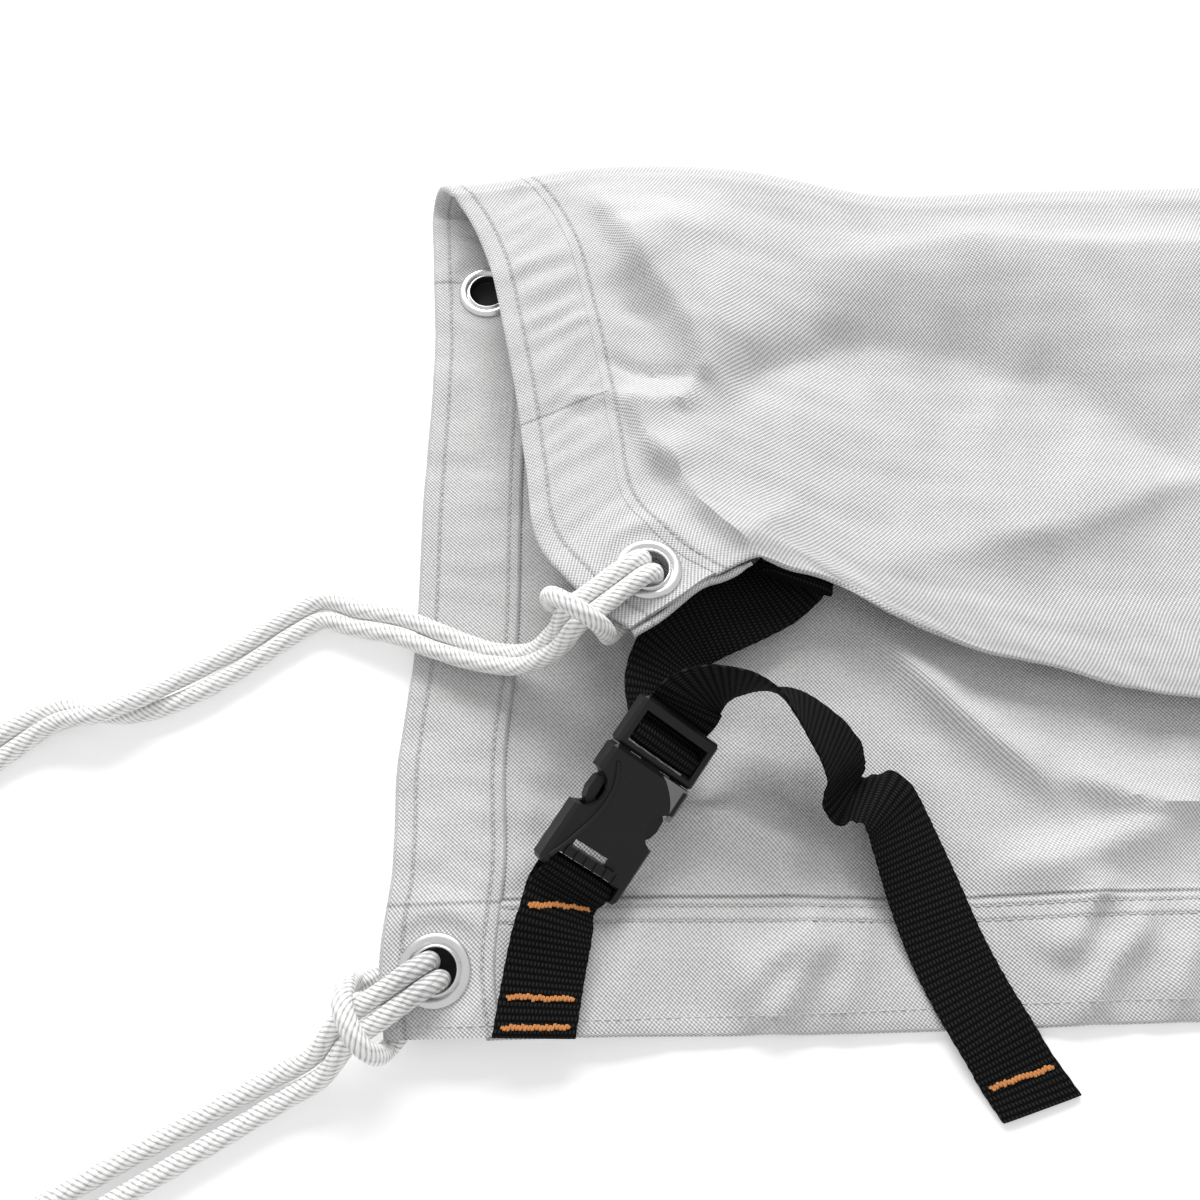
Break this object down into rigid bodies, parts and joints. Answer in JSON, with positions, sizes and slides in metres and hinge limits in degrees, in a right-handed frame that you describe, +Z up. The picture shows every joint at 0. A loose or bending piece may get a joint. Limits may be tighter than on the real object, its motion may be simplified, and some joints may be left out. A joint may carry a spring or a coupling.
{
  "type": "boom cover",
  "caption": "canvas boom cover laid folded lengthwise, with an eyeletted end strip, rope ties hitched in its corner eyelets and a webbing strap joined by a side-release buckle",
  "frame": {"origin": "on the flat underside of the ground panel, inside the cover's open end, at the level of the surface it rests on", "axes": "+X runs along the cover from its open end, +Y from the loose long edges to the lengthwise fold, +Z up"},
  "size_m": [1.1471, 0.3761, 0.0439],
  "materials": {
    "canvas": "plain-woven light grey canvas, matt, with a fine weave",
    "strip_canvas": "doubled light grey canvas strip, matt, stitched along both edges",
    "eyelet_metal": "bright nickel-plated brass, polished",
    "webbing": "black ribbed webbing, matt",
    "buckle_plastic": "black moulded plastic, satin",
    "cord": "white braided rope, slight sheen"
  },
  "bodies": {
    "root": {"cover_cloth": "canvas", "end_strip": "strip_canvas", "eyelet_centre": "eyelet_metal", "eyelet_ground": "eyelet_metal", "eyelet_flap": "eyelet_metal", "strap_stub": "webbing", "strap_long": "webbing", "buckle_socket": "buckle_plastic", "buckle_plug": "buckle_plastic", "tie_ground_a": "cord", "tie_ground_b": "cord", "tie_flap_a": "cord", "tie_flap_b": "cord"}
  },
  "joints": []
}
